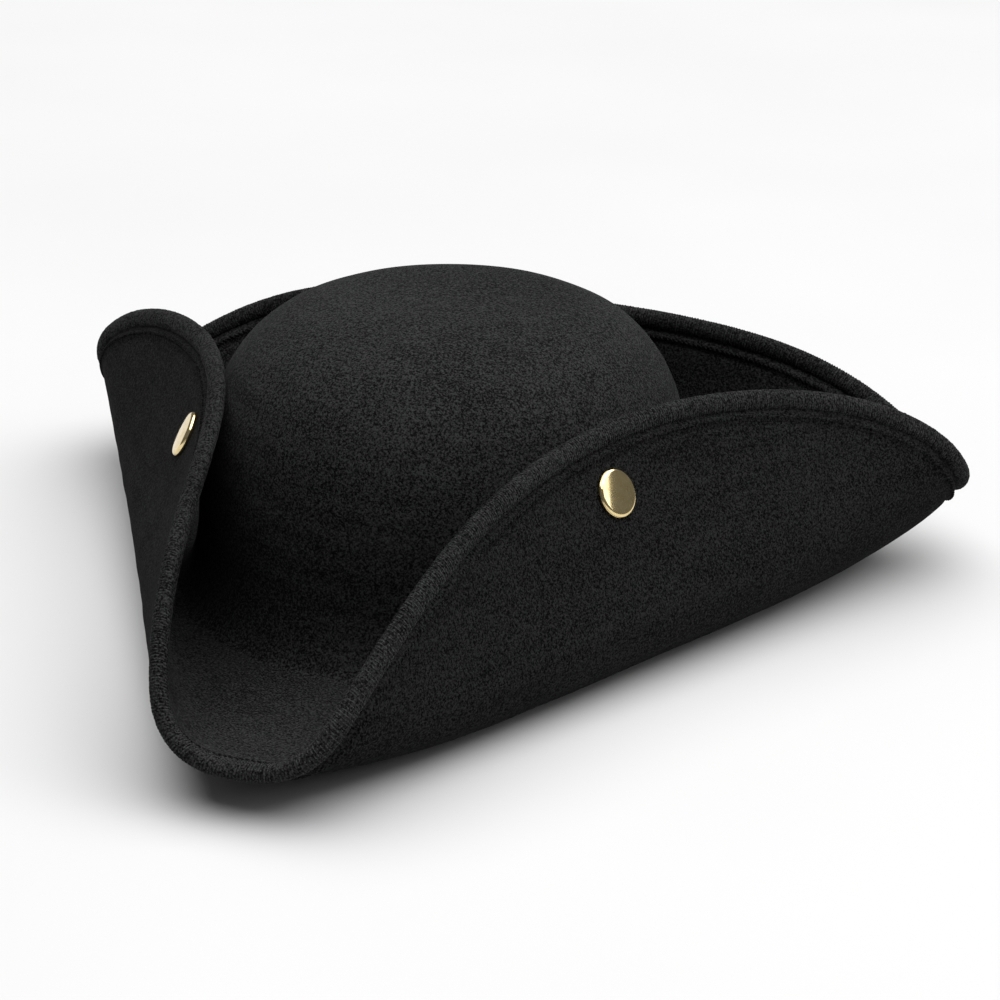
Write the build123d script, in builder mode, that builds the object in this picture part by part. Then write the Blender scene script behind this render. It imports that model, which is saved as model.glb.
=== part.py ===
from build123d import *
import os
from math import atan2, cos, degrees, exp, pi, radians, sin, sqrt

# A three-cornered hat. It is blocked as a domed crown with a flat, uneven brim, and the brim is then
# folded up along three straight lines into two side flaps and a back flap.
# Millimetres. Origin: centre of the head opening, on the surface that the hat stands on.
# The front point is towards -Y, +X is the wearer's left, +Z is up.
# Azimuths are in degrees from the front, positive towards +X.

# ---- driving dimensions: the crown, to the middle of its wall --------------------------------------
CROWN_HALF_WIDTH = 92.0
CROWN_HALF_LENGTH = 102.5
CROWN_HEIGHT = 113.0
CROWN_SQUARENESS = 3.6  # exponent of the superellipse that the dome follows from wall to top
FLARE_WIDTH = 12.0  # the crown's foot curves out into the brim
FLARE_HEIGHT = 30.0
REST_HEIGHT = 2.3  # from the table to the middle of the brim's thickness

# ---- driving dimensions: the brim ------------------------------------------------------------------
BRIM_WIDTH = 101.5
BRIM_WIDTH_WAVES = (3.5, -7.5, 7.5)  # added for each whole wave round the hat
SIDE_FOLD_HEADING = 62.0  # azimuth of the line square to a side flap's fold
BACK_FOLD_HEADING = 180.0
# Each is a polynomial in the distance along the fold, in FOLD_UNIT lengths, from the fold's middle
# towards the rear.
FOLD_UNIT = 100.0
SIDE_FOLD = {"distance": (119.6,), "turn": (117.7, 4.6, -7.3), "length": (61.4, 12.8)}
BACK_FOLD = {"distance": (121.4, 0.0, -5.7), "turn": (94.9, 0.0, -15.3), "length": (56.4,)}
FOLD_STEPS = 12  # steps in adding up a fold's curve
POINT_LIFTS = {0.0: (15.9, 30.0), 120.0: (16.5, 28.0), -120.0: (16.5, 28.0)}  # azimuth: height, spread

# ---- driving dimensions: the layers, measured from the middle of the wall --------------------------
STIFFENER = (-0.95, 0.95)
COVER = (1.05, 1.95)
UNDER_COVER = (-1.95, -1.05)
LINING = (-1.5, -1.1)

# ---- driving dimensions: the hem -------------------------------------------------------------------
HEM_CENTRE_INSET = 4.5  # from the brim's outer edge
HEM_INSET = 8.7  # where the flat layers stop
HEM_ROLL = (4.0, 3.0)  # half width, half thickness
HEM_ROLL_HOLLOW = (2.7, 1.8)
HEM_THREAD = (4.4, 3.4)
HEM_THREAD_HOLLOW = (4.1, 3.1)
HEM_OPENING_ANGLE = 30.0  # half of the gap that faces the brim, seen from the hem's centre
WIRE_RADIUS = 1.0
FERRULE_RADIUS = 1.6
FERRULE_BORE_RADIUS = 1.1
FERRULE_AZIMUTHS = (166.0, 168.0, 170.0, 172.0, 174.0)
LOCK_STITCH_INSET = 10.8
LOCK_STITCH_RADIUS = 0.55
LOCK_STITCH_OFFSET = 2.6
CORD_JOIN_AZIMUTH = 170.0  # where the wire and the lock stitches start and end, inside the ferrule
CORD_JOIN_GAP = 0.15  # half of the gap between their ends, in degrees

# ---- driving dimensions: the fittings inside the crown ---------------------------------------------
SWEATBAND = (-3.1, -2.1)
SWEATBAND_HEIGHT = 36.0
STITCH_COUNT = 72
STITCH_LENGTH = 5.0
STITCH_THICKNESS = 0.4
STITCH_HEIGHTS = (3.0, 33.0)
STITCH_OFFSET = -3.35
LABEL = (-3.6, -3.2)
LABEL_WIDTH = 34.0
LABEL_BOTTOM = 8.0
LABEL_TOP = 28.0

# ---- driving dimensions: the buttons ---------------------------------------------------------------
BUTTON_RADIUS = 9.0
BUTTON_HEIGHT = 2.6
BUTTON_SHEET = 0.5
BUTTON_FACE_RADIUS = 7.7  # where the low dome of the face turns over into the wall
BUTTON_CROWNING = 0.4
BUTTON_SHOULDER = 0.8
POST_TOP = 1.9
POST_RADIUS = 1.5
POST_FLANGE_RADIUS = 3.0
POST_FLANGE_THICKNESS = 0.6
TACK_RADIUS = 0.8
WASHER_RADIUS = 6.0
WASHER_THICKNESS = 0.8
WASHER_EDGE = 0.3
WASHER_CLEARANCE = 0.35
BRIM_FACE = 2.0  # from the middle of the brim to just clear of either face
KNOT_RADIUS = 1.5
WALL_TRIES = 8  # rounds of closing in on the point where a tack meets the crown
TACKED_FLAPS = ("left", "right")  # the back flap stands clear of the crown
BUTTONS = (("left", 57.0, 2.75), ("right", -57.0, 2.75), ("back", 180.0, 2.71))  # azimuth, station

# ---- how finely the curved sheets are drawn --------------------------------------------------------
SECTION_COUNT = 60
POINT_CROWDING = 0.45  # how much closer the sections stand at the three points
# Stations run down a section: 0 to 1 over the dome, 1 to 2 down the flare, 2 to 3 across the brim.
STATIONS_PER_SPAN = (12, 5, 9)
TOP_STATION = 0.08
TOP_PATCH = (14.0, 16.0)
TOP_PATCH_SHARE = 0.8  # of the sheet's thickness, so that the patch stays inside both faces
UNDER_COVER_STATION = 1.5
SLOPE_STEP = 0.02  # in stations
TURN_STEP = 1.0  # in degrees
CORD_STEPS = 120


def polynomial(coefficients, x):
    return sum(c * x**power for power, c in enumerate(coefficients))


def oval_radius(azimuth, half_width, half_length):
    """Distance from the centre to an ellipse, at an azimuth."""
    a = radians(azimuth)
    return 1 / sqrt((sin(a) / half_width) ** 2 + (cos(a) / half_length) ** 2)


def brim_width(azimuth):
    waves = (w * cos(radians(n * azimuth)) for n, w in enumerate(BRIM_WIDTH_WAVES, start=1))
    return BRIM_WIDTH + sum(waves)


def flat_section(azimuth, station):
    """Radius and height of the hat's middle surface before the brim is folded."""
    wall = oval_radius(azimuth, CROWN_HALF_WIDTH, CROWN_HALF_LENGTH)
    power = CROWN_SQUARENESS
    if station <= 1:
        lowest = atan2(FLARE_HEIGHT, wall)
        tilt = pi / 2 - (pi / 2 - lowest) * station
        reach = ((cos(tilt) / wall) ** power + (sin(tilt) / CROWN_HEIGHT) ** power) ** (-1 / power)
        return reach * cos(tilt), reach * sin(tilt)
    if station <= 2:
        turn = (station - 1) * pi / 2
        height = FLARE_HEIGHT * (1 - sin(turn))
        dome = wall * (1 - (height / CROWN_HEIGHT) ** power) ** (1 / power)
        return dome + FLARE_WIDTH * (1 - cos(turn)), height
    return wall + FLARE_WIDTH + brim_width(azimuth) * (station - 2), 0.0


def turned_up(distance, length, turn):
    """A point at a distance past a fold's middle line, once the fold is bent: (distance, height)."""
    start = -length / 2
    if distance <= start:
        return distance, 0.0
    share = min((distance - start) / length, 1.0)
    step = share / FOLD_STEPS
    across, up = start, 0.0
    for i in range(FOLD_STEPS):
        s = (i + 0.5) * step
        angle = turn * s * s * (3 - 2 * s)
        across += length * step * cos(angle)
        up += length * step * sin(angle)
    beyond = max(distance - length / 2, 0.0)
    return across + beyond * cos(turn), up + beyond * sin(turn)


def fold_move(x, y, heading, fold):
    """How far one flap's fold moves a point of the flat brim."""
    across = (sin(radians(heading)), -cos(radians(heading)))
    rearward = (-across[1], across[0]) if across[0] > 0 else (across[1], -across[0])
    along = (x * rearward[0] + y * rearward[1]) / FOLD_UNIT
    distance = x * across[0] + y * across[1] - polynomial(fold["distance"], along)
    turn = radians(polynomial(fold["turn"], along))
    moved, up = turned_up(distance, polynomial(fold["length"], along), turn)
    return (moved - distance) * across[0], (moved - distance) * across[1], up


def middle_point(azimuth, station):
    """A point of the middle surface of the finished hat."""
    radius, height = flat_section(azimuth, station)
    x, y = radius * sin(radians(azimuth)), -radius * cos(radians(azimuth))
    point = Vector(x, y, height + REST_HEIGHT)
    share = min(max(station - 1, 0.0), 1.0)
    if share == 0:
        return point
    folds = [(SIDE_FOLD_HEADING, SIDE_FOLD), (-SIDE_FOLD_HEADING, SIDE_FOLD), (BACK_FOLD_HEADING, BACK_FOLD)]
    for heading, fold in folds:
        point += Vector(*fold_move(x, y, heading, fold)) * share
    across_brim = max(station - 2, 0.0)
    for centre, (lift, spread) in POINT_LIFTS.items():
        off_centre = (azimuth - centre + 180) % 360 - 180
        point += Vector(0, 0, lift * across_brim**2 * exp(-((off_centre / spread) ** 2)))
    return point


def hat_frame(azimuth, station, offset=0.0):
    """A plane on the hat: x runs down the section and out to the edge, z is off the upper face."""
    low, high = max(station - SLOPE_STEP, TOP_STATION / 2), min(station + SLOPE_STEP, 3.0)
    outward = middle_point(azimuth, high) - middle_point(azimuth, low)
    around = middle_point(azimuth + TURN_STEP, station) - middle_point(azimuth - TURN_STEP, station)
    face = around.cross(outward).normalized() * -1
    return Plane(middle_point(azimuth, station) + face * offset, x_dir=outward, z_dir=face)


def hat_point(azimuth, station, offset):
    return hat_frame(azimuth, station, offset).origin


def brim_station(azimuth, inset):
    """The station that lies an inset in from the brim's edge."""
    return 3 - inset / brim_width(azimuth)


def section_azimuths():
    """Azimuths all the way round, crowded at the three points of the hat."""
    steps = [360 * i / SECTION_COUNT - 180 for i in range(SECTION_COUNT)]
    return [a - POINT_CROWDING * degrees(sin(radians(3 * a))) / 3 for a in steps]


def stations_between(first, last):
    marks = [span + i / count for span, count in enumerate(STATIONS_PER_SPAN) for i in range(count)]
    return [first, *(m for m in marks if first + SLOPE_STEP < m < last - SLOPE_STEP), last]


def closed_loft(sections):
    """One smooth ring through the sections and back to the first of them."""
    return Solid.make_loft([*sections, sections[0]])


def sheet_section(azimuth, first, last, faces):
    stations = stations_between(first, last)
    with BuildLine() as section:
        lower = Spline(*[hat_point(azimuth, s, faces[0]) for s in stations])
        upper = Spline(*[hat_point(azimuth, s, faces[1]) for s in stations])
        Line(lower @ 0, upper @ 0)
        Line(lower @ 1, upper @ 1)
    return section.wire()


def sheet_ring(first, last, faces):
    """A sheet that follows the hat all round, between two stations. last=None stops at the hem."""
    azimuths = section_azimuths()
    return closed_loft(
        [sheet_section(a, first, last or brim_station(a, HEM_INSET), faces) for a in azimuths]
    )


def close_top(faces):
    """Fills the small opening that a sheet ring leaves at the top of the crown."""
    thickness = (faces[1] - faces[0]) * TOP_PATCH_SHARE
    middle = hat_point(0, TOP_STATION, (faces[0] + faces[1]) / 2).Z
    with BuildSketch(Plane.XY.offset(middle - thickness / 2)) as patch:
        Ellipse(*TOP_PATCH)
    extrude(patch.sketch, amount=thickness)


def edge_plane(azimuth, inset, offset=0.0):
    """A plane across the brim's edge: x points out of the hat, y off the upper face."""
    frame = hat_frame(azimuth, brim_station(azimuth, inset), offset)
    before = hat_point(azimuth - TURN_STEP, brim_station(azimuth - TURN_STEP, inset), offset)
    after = hat_point(azimuth + TURN_STEP, brim_station(azimuth + TURN_STEP, inset), offset)
    along = (after - before).normalized()
    return Plane(frame.origin, x_dir=frame.z_dir.cross(along) * -1, z_dir=along * -1)


def cord_round_brim(inset, offset, radius):
    """A round cord or wire that runs round the brim, from one side of its join to the other."""
    span = 360 - 2 * CORD_JOIN_GAP
    azimuths = [CORD_JOIN_AZIMUTH + CORD_JOIN_GAP + span * i / CORD_STEPS for i in range(CORD_STEPS + 1)]
    with BuildLine() as path:
        run = Spline(*[hat_point(a, brim_station(a, inset), offset) for a in azimuths])
    with BuildSketch(Plane(run @ 0, z_dir=run % 0)) as section:
        Circle(radius)
    sweep(section.sketch, path=path.wire())


def wrapped_ring(outer, inner):
    """An open-backed wrap round the hem: half widths and half thicknesses outside and inside."""
    start, sweep_angle = HEM_OPENING_ANGLE - 180, 360 - 2 * HEM_OPENING_ANGLE
    sections = []
    for azimuth in section_azimuths():
        with BuildLine(edge_plane(azimuth, HEM_CENTRE_INSET)) as section:
            outside = EllipticalCenterArc((0, 0), *outer, start_angle=start, arc_size=sweep_angle)
            inside = EllipticalCenterArc((0, 0), *inner, start_angle=start, arc_size=sweep_angle)
            Line(outside @ 0, inside @ 0)
            Line(outside @ 1, inside @ 1)
        sections.append(section.wire())
    return closed_loft(sections)


def crown_oval(offset):
    return CROWN_HALF_WIDTH + offset, CROWN_HALF_LENGTH + offset


def oval_band(faces, bottom, top):
    """An upright oval band inside the crown."""
    with BuildSketch(Plane.XY.offset(bottom)) as band:
        Ellipse(*crown_oval(faces[1]))
        Ellipse(*crown_oval(faces[0]), mode=Mode.SUBTRACT)
    extrude(band.sketch, amount=top - bottom)


def turned(profile_plane, axis, points):
    """A body turned about an axis from the corners of half its section."""
    with BuildSketch(profile_plane) as half:
        with BuildLine():
            Polyline(*points, close=True)
        make_face()
    revolve(half.sketch, axis=axis)


os.makedirs("parts", exist_ok=True)


def save(part, name):
    part.label = name
    export_step(part, f"parts/{name}.step")


# ---- the body of the hat ---------------------------------------------------------------------------
# The velour over the crown and the top of the brim is one piece, blocked to shape without a seam.
with BuildPart() as velour_cover:
    add(sheet_ring(TOP_STATION, None, COVER))
    close_top(COVER)
save(velour_cover.part, "velour_cover")

with BuildPart() as crown_shell:
    add(sheet_ring(TOP_STATION, 1.0, STIFFENER))
    close_top(STIFFENER)
save(crown_shell.part, "crown_shell")

with BuildPart() as brim_board:
    add(sheet_ring(1.0, None, STIFFENER))
save(brim_board.part, "brim_board")

with BuildPart() as brim_under_velour:
    add(sheet_ring(UNDER_COVER_STATION, None, UNDER_COVER))
save(brim_under_velour.part, "brim_under_velour")

with BuildPart() as crown_lining:
    add(sheet_ring(TOP_STATION, 1.0, LINING))
    close_top(LINING)
save(crown_lining.part, "crown_lining")

# ---- the hem ---------------------------------------------------------------------------------------
with BuildPart() as hem_roll:
    add(wrapped_ring(HEM_ROLL, HEM_ROLL_HOLLOW))
save(hem_roll.part, "hem_roll")

with BuildPart() as hem_overlock:
    add(wrapped_ring(HEM_THREAD, HEM_THREAD_HOLLOW))
save(hem_overlock.part, "hem_overlock")

with BuildPart() as brim_wire:
    cord_round_brim(HEM_CENTRE_INSET, 0.0, WIRE_RADIUS)
save(brim_wire.part, "brim_wire")

with BuildPart() as wire_ferrule:
    for radius, mode in ((FERRULE_RADIUS, Mode.ADD), (FERRULE_BORE_RADIUS, Mode.SUBTRACT)):
        for azimuth in FERRULE_AZIMUTHS:
            with BuildSketch(edge_plane(azimuth, HEM_CENTRE_INSET)):
                Circle(radius)
        loft(mode=mode)
save(wire_ferrule.part, "wire_ferrule")

for name, side in (("hem_lock_stitch_top", 1), ("hem_lock_stitch_under", -1)):
    with BuildPart() as lock_stitch:
        cord_round_brim(LOCK_STITCH_INSET, side * LOCK_STITCH_OFFSET, LOCK_STITCH_RADIUS)
    save(lock_stitch.part, name)

# ---- inside the crown ------------------------------------------------------------------------------
with BuildPart() as sweatband:
    oval_band(SWEATBAND, 0.0, SWEATBAND_HEIGHT)
save(sweatband.part, "sweatband")

with BuildPart() as sweatband_stitches:
    for i in range(STITCH_COUNT):
        azimuth = 360 * (i + 0.5) / STITCH_COUNT
        radius = oval_radius(azimuth, *crown_oval(STITCH_OFFSET))
        x, y = radius * sin(radians(azimuth)), -radius * cos(radians(azimuth))
        for height in STITCH_HEIGHTS:
            with Locations(Location((x, y, height), (0, 0, azimuth))):
                Box(STITCH_LENGTH, STITCH_THICKNESS, STITCH_THICKNESS)
save(sweatband_stitches.part, "sweatband_stitches")

with BuildPart() as size_label:
    oval_band(LABEL, LABEL_BOTTOM, LABEL_TOP)
    with BuildSketch(Plane.XY):
        with Locations((0, CROWN_HALF_LENGTH)):
            Rectangle(LABEL_WIDTH, CROWN_HALF_LENGTH)
    extrude(amount=LABEL_TOP, mode=Mode.INTERSECT)
save(size_label.part, "size_label")


# ---- the three buttons and what holds the flaps up -------------------------------------------------
def crown_hit(start, direction):
    """Where a line from a flap meets the middle of the crown's wall, and the wall's outward normal."""
    point = start
    for _ in range(WALL_TRIES):
        azimuth = degrees(atan2(point.X, -point.Y))
        wall = oval_radius(azimuth, CROWN_HALF_WIDTH, CROWN_HALF_LENGTH)
        height = (point.Z - REST_HEIGHT) / CROWN_HEIGHT
        reach = (1 - height**CROWN_SQUARENESS) ** (1 / CROWN_SQUARENESS)
        outward = Vector(sin(radians(azimuth)), -cos(radians(azimuth)), 0)
        point += direction * ((wall * reach - point.dot(outward)) / direction.dot(outward))
    slope = CROWN_SQUARENESS - 1
    normal = outward * (reach**slope / wall) + Vector(0, 0, height**slope / CROWN_HEIGHT)
    return point, normal.normalized()


def half_section_plane(origin, axis_direction, across):
    """A plane whose y runs along an axis, for turning a profile about it."""
    return Plane(origin, x_dir=across, z_dir=across.cross(axis_direction))


for name, azimuth, station in BUTTONS:
    flap = hat_frame(azimuth, station)
    out = flap.z_dir * -1
    face = half_section_plane(flap.origin + out * BRIM_FACE, out, flap.x_dir)
    button_axis = Axis(flap.origin, out)
    with BuildPart() as button_cap:
        with BuildSketch(face):
            with BuildLine():
                crest = Line((0, BUTTON_HEIGHT - BUTTON_SHEET), (0, BUTTON_HEIGHT))
                shoulder = (BUTTON_FACE_RADIUS, BUTTON_HEIGHT - BUTTON_CROWNING)
                dome = TangentArc(crest @ 1, shoulder, tangent=(1, 0))
                wall = Spline(
                    dome @ 1,
                    (BUTTON_RADIUS, shoulder[1] - BUTTON_SHOULDER),
                    tangents=[dome % 1, (0, -1)],
                )
                Polyline(
                    wall @ 1,
                    (BUTTON_RADIUS, 0),
                    (BUTTON_RADIUS - BUTTON_SHEET, 0),
                    (BUTTON_RADIUS - BUTTON_SHEET, shoulder[1] - BUTTON_SHEET - BUTTON_SHOULDER),
                    (BUTTON_FACE_RADIUS - BUTTON_SHEET, shoulder[1] - BUTTON_SHEET),
                    crest @ 0,
                )
            make_face()
        revolve(axis=button_axis)
    save(button_cap.part, f"{name}_button_cap")

    with BuildPart() as button_post:
        turned(
            face,
            button_axis,
            [
                (0, POST_TOP),
                (POST_FLANGE_RADIUS, POST_TOP),
                (POST_FLANGE_RADIUS, POST_TOP - POST_FLANGE_THICKNESS),
                (POST_RADIUS, POST_TOP - POST_FLANGE_THICKNESS),
                (POST_RADIUS, -2 * BRIM_FACE),
                (POST_FLANGE_RADIUS, -2 * BRIM_FACE),
                (POST_FLANGE_RADIUS, -2 * BRIM_FACE - POST_FLANGE_THICKNESS),
                (0, -2 * BRIM_FACE - POST_FLANGE_THICKNESS),
            ],
        )
    save(button_post.part, f"{name}_button_post")

    if name in TACKED_FLAPS:
        inward = out * -1
        tack_start = flap.origin + inward * (BRIM_FACE + POST_FLANGE_THICKNESS)
        wall_point, wall_normal = crown_hit(tack_start, inward)
        wall_slant = abs(inward.dot(wall_normal))
        washer_face = wall_point - wall_normal * (WASHER_CLEARANCE - LINING[0])
        with BuildPart() as backing_washer:
            with BuildSketch(Plane(washer_face, z_dir=wall_normal * -1)):
                Circle(WASHER_RADIUS)
            extrude(amount=WASHER_THICKNESS)
            fillet(backing_washer.edges(), radius=WASHER_EDGE)
        save(backing_washer.part, f"{name}_backing_washer")

        tack_length = (wall_point - tack_start).length - LINING[0] / wall_slant
        knot_depth = WASHER_CLEARANCE + WASHER_THICKNESS + KNOT_RADIUS - LINING[0]
        with BuildPart() as tack_thread:
            with BuildSketch(Plane(tack_start, z_dir=inward)):
                Circle(TACK_RADIUS)
            extrude(amount=tack_length)
            with Locations(wall_point - wall_normal * knot_depth):
                Sphere(KNOT_RADIUS)
        save(tack_thread.part, f"{name}_tack_thread")
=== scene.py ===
import math

import bpy
import numpy as np
from mathutils import Matrix, Vector


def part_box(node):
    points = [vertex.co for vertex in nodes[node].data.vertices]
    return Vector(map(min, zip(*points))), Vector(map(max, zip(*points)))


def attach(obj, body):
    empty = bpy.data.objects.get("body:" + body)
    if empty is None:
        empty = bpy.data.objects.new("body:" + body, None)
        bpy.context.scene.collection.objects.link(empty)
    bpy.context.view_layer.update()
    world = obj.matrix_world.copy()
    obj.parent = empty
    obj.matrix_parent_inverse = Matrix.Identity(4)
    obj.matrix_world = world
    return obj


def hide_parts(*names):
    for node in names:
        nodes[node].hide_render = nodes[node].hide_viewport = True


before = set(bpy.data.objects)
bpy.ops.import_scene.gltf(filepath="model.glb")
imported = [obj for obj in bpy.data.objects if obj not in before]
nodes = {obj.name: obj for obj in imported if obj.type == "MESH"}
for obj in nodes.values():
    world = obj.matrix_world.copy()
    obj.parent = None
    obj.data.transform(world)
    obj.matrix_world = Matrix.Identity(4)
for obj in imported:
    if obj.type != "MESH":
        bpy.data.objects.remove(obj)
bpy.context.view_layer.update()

# A black velour three-cornered hat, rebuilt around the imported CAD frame. The form below is the CAD
# source's own formula in millimetres, and each mesh is put into metres as it is made.
MM = 0.001

# ---- the hat's form ------------------------------------------------------------------------------
CROWN_HALF_WIDTH = 92.0
CROWN_HALF_LENGTH = 102.5
CROWN_HEIGHT = 113.0
CROWN_SQUARENESS = 3.6
FLARE_WIDTH = 12.0
FLARE_HEIGHT = 30.0
REST_HEIGHT = 2.3
BRIM_WIDTH = 101.5
BRIM_WIDTH_WAVES = (3.5, -7.5, 7.5)
FOLD_UNIT = 100.0
SIDE_FOLD_HEADING = math.radians(62.0)
SIDE_FOLD = {"distance": (119.6,), "turn": (117.7, 4.6, -7.3), "length": (61.4, 12.8)}
BACK_FOLD = {"distance": (121.4, 0.0, -5.7), "turn": (94.9, 0.0, -15.3), "length": (56.4,)}
FOLDS = ((SIDE_FOLD_HEADING, SIDE_FOLD), (-SIDE_FOLD_HEADING, SIDE_FOLD), (math.pi, BACK_FOLD))
FOLD_STEPS = 12
POINT_LIFTS = ((0.0, 15.9, 30.0), (120.0, 16.5, 28.0), (-120.0, 16.5, 28.0))
POINT_CROWDING = 0.45
SLOPE_STEP = 0.02
TURN_STEP = math.radians(1.0)
SHORTEST = 1e-12
APEX = 0.004  # station of the ring that stands for the crown's very top

# ---- layers and fittings, as offsets from the middle surface ---------------------------------------
COVER = (1.05, 1.95)  # of the upper velour; the under velour is its mirror image
LINING = (-1.1, -1.5)
HEM_CENTRE_INSET = 4.5
HEM_INSET = 8.7
HEM_ROLL = (4.0, 3.0)
HEM_ROLL_HOLLOW = (2.7, 1.8)
LOCK_STITCH_INSET = 10.8
SWEATBAND = (-3.1, -2.1)
SWEATBAND_HEIGHT = 36.0
STITCH_COUNT = 72
STITCH_HEIGHTS = (3.0, 33.0)
LABEL_WIDTH = 34.0
LABEL_SPAN = (8.0, 28.0)
BRIM_FACE = 2.0
# Each button's name, azimuth in degrees and station.
BUTTONS = (("left", 57.0, 2.75), ("right", -57.0, 2.75), ("back", 180.0, 2.71))


def polynomial(coefficients, x):
    return sum(c * x**power for power, c in enumerate(coefficients))


def oval_radius(phi, half_width, half_length):
    return 1 / np.hypot(np.sin(phi) / half_width, np.cos(phi) / half_length)


def brim_width(phi):
    waves = (w * np.cos(n * phi) for n, w in enumerate(BRIM_WIDTH_WAVES, start=1))
    return BRIM_WIDTH + sum(waves)


def flat_section(phi, station):
    """Radius and height of the middle surface before the brim is folded."""
    wall = oval_radius(phi, CROWN_HALF_WIDTH, CROWN_HALF_LENGTH)
    power = CROWN_SQUARENESS
    lowest = np.arctan2(FLARE_HEIGHT, wall)
    tilt = np.pi / 2 - (np.pi / 2 - lowest) * np.clip(station, 0, 1)
    side, top = np.cos(tilt) / wall, np.sin(tilt) / CROWN_HEIGHT
    reach = (side**power + top**power) ** (-1 / power)
    turn = np.clip(station - 1, 0, 1) * np.pi / 2
    foot = FLARE_HEIGHT * (1 - np.sin(turn))
    dome = wall * (1 - (foot / CROWN_HEIGHT) ** power) ** (1 / power)
    flared = dome + FLARE_WIDTH * (1 - np.cos(turn))
    flared = flared + brim_width(phi) * np.clip(station - 2, 0, None)
    on_dome = station <= 1
    return np.where(on_dome, reach * np.cos(tilt), flared), np.where(on_dome, reach * np.sin(tilt), foot)


def turned_up(distance, length, turn):
    """A point past a fold's middle line, once the fold is bent: (distance, height)."""
    start = -length / 2
    step = np.clip((distance - start) / length, 0, 1) / FOLD_STEPS
    across, up = np.minimum(distance, start), 0.0
    for i in range(FOLD_STEPS):
        s = (i + 0.5) * step
        angle = turn * s * s * (3 - 2 * s)
        across = across + length * step * np.cos(angle)
        up = up + length * step * np.sin(angle)
    beyond = np.maximum(distance - length / 2, 0)
    return across + beyond * np.cos(turn), up + beyond * np.sin(turn)


def middle(phi, station):
    """Points of the finished hat's middle surface, in an array whose last axis is x, y, z."""
    phi, station = np.broadcast_arrays(np.asarray(phi, float), np.asarray(station, float))
    radius, height = flat_section(phi, station)
    x, y = radius * np.sin(phi), -radius * np.cos(phi)
    share = np.clip(station - 1, 0, 1)
    moved_x, moved_y, moved_z = x.copy(), y.copy(), height + REST_HEIGHT
    for heading, fold in FOLDS:
        across_x, across_y = math.sin(heading), -math.cos(heading)
        side = 1.0 if across_x > 0 else -1.0
        along = side * (-x * across_y + y * across_x) / FOLD_UNIT
        distance = x * across_x + y * across_y - polynomial(fold["distance"], along)
        turn = np.radians(polynomial(fold["turn"], along))
        moved, up = turned_up(distance, polynomial(fold["length"], along), turn)
        moved_x += (moved - distance) * across_x * share
        moved_y += (moved - distance) * across_y * share
        moved_z = moved_z + up * share
    across_brim = np.clip(station - 2, 0, None)
    for centre, lift, spread in POINT_LIFTS:
        off_centre = (np.degrees(phi) - centre + 180) % 360 - 180
        moved_z = moved_z + lift * across_brim**2 * np.exp(-((off_centre / spread) ** 2))
    return np.stack([moved_x, moved_y, moved_z], axis=-1)


def unit(vectors):
    lengths = np.linalg.norm(vectors, axis=-1, keepdims=True)
    return vectors / np.maximum(lengths, SHORTEST)


def face_normal(phi, station):
    """The direction off the upper face."""
    low = np.maximum(station - SLOPE_STEP, APEX / 2)
    high = np.minimum(station + SLOPE_STEP, 3.0)
    outward = middle(phi, high) - middle(phi, low)
    around = middle(phi + TURN_STEP, station) - middle(phi - TURN_STEP, station)
    return unit(np.cross(outward, around))


def hat_point(phi, station, offset):
    normal = face_normal(phi, station)
    return middle(phi, station) + normal * np.asarray(offset)[..., None]


def brim_station(phi, inset):
    return 3 - inset / brim_width(phi)


def ring_azimuths(count):
    """Azimuths all the way round, crowded at the three points."""
    even = np.linspace(-np.pi, np.pi, count, endpoint=False)
    return even - POINT_CROWDING * np.sin(3 * even) / 3


# ---- meshes ----------------------------------------------------------------------------------------
def add_piece(name, points, faces, material, sharp=None):
    """A piece of the hat, from points in millimetres. It rides with the hat's one body."""
    mesh = bpy.data.meshes.new(name)
    mesh.from_pydata((np.asarray(points) * MM).tolist(), [], faces)
    mesh.validate()
    mesh.shade_smooth()
    if sharp:
        mesh.set_sharp_from_angle(angle=math.radians(sharp))
    mesh.materials.append(material)
    piece = bpy.data.objects.new(name, mesh)
    bpy.context.scene.collection.objects.link(piece)
    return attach(piece, "root")


def grid_faces(rows, columns, start=0, flip=False, wrap_rows=False):
    """Quads over a grid of points that closes round its columns, and round its rows if asked."""
    count = rows if wrap_rows else rows - 1
    i, j = np.meshgrid(np.arange(count), np.arange(columns), indexing="ij")
    i2, j2 = (i + 1) % rows, (j + 1) % columns
    quads = [i * columns + j, i2 * columns + j, i2 * columns + j2, i * columns + j2]
    quads = np.stack(quads[::-1] if flip else quads, axis=-1) + start
    return quads.reshape(-1, 4).tolist()


def strip_faces(first, second, columns, flip=False):
    """Quads between two rings of points that start at these numbers."""
    faces = []
    for j in range(columns):
        k = (j + 1) % columns
        quad = [first + j, second + j, second + k, first + k]
        faces.append(quad[::-1] if flip else quad)
    return faces


def sheet_mesh(outer, inner, upper, closed_top):
    """Points and faces of a closed sheet from its two faces, each an array of rings."""
    rows, columns = outer.shape[:2]
    inner_rows = inner.shape[0]
    start = rows * columns
    points = np.concatenate([outer.reshape(-1, 3), inner.reshape(-1, 3)])
    faces = grid_faces(rows, columns, flip=not upper)
    faces += grid_faces(inner_rows, columns, start=start, flip=upper)
    last, inner_last = (rows - 1) * columns, start + (inner_rows - 1) * columns
    faces += strip_faces(last, inner_last, columns, flip=not upper)
    if closed_top:
        tip = len(points)
        points = np.concatenate([points, outer[:1].mean(axis=1), inner[:1].mean(axis=1)])
        for j in range(columns):
            k = (j + 1) % columns
            fans = ([tip, j, k], [tip + 1, start + k, start + j])
            faces += [f if upper else f[::-1] for f in fans]
    else:
        faces += strip_faces(start, 0, columns, flip=not upper)
    return points, faces


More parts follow.
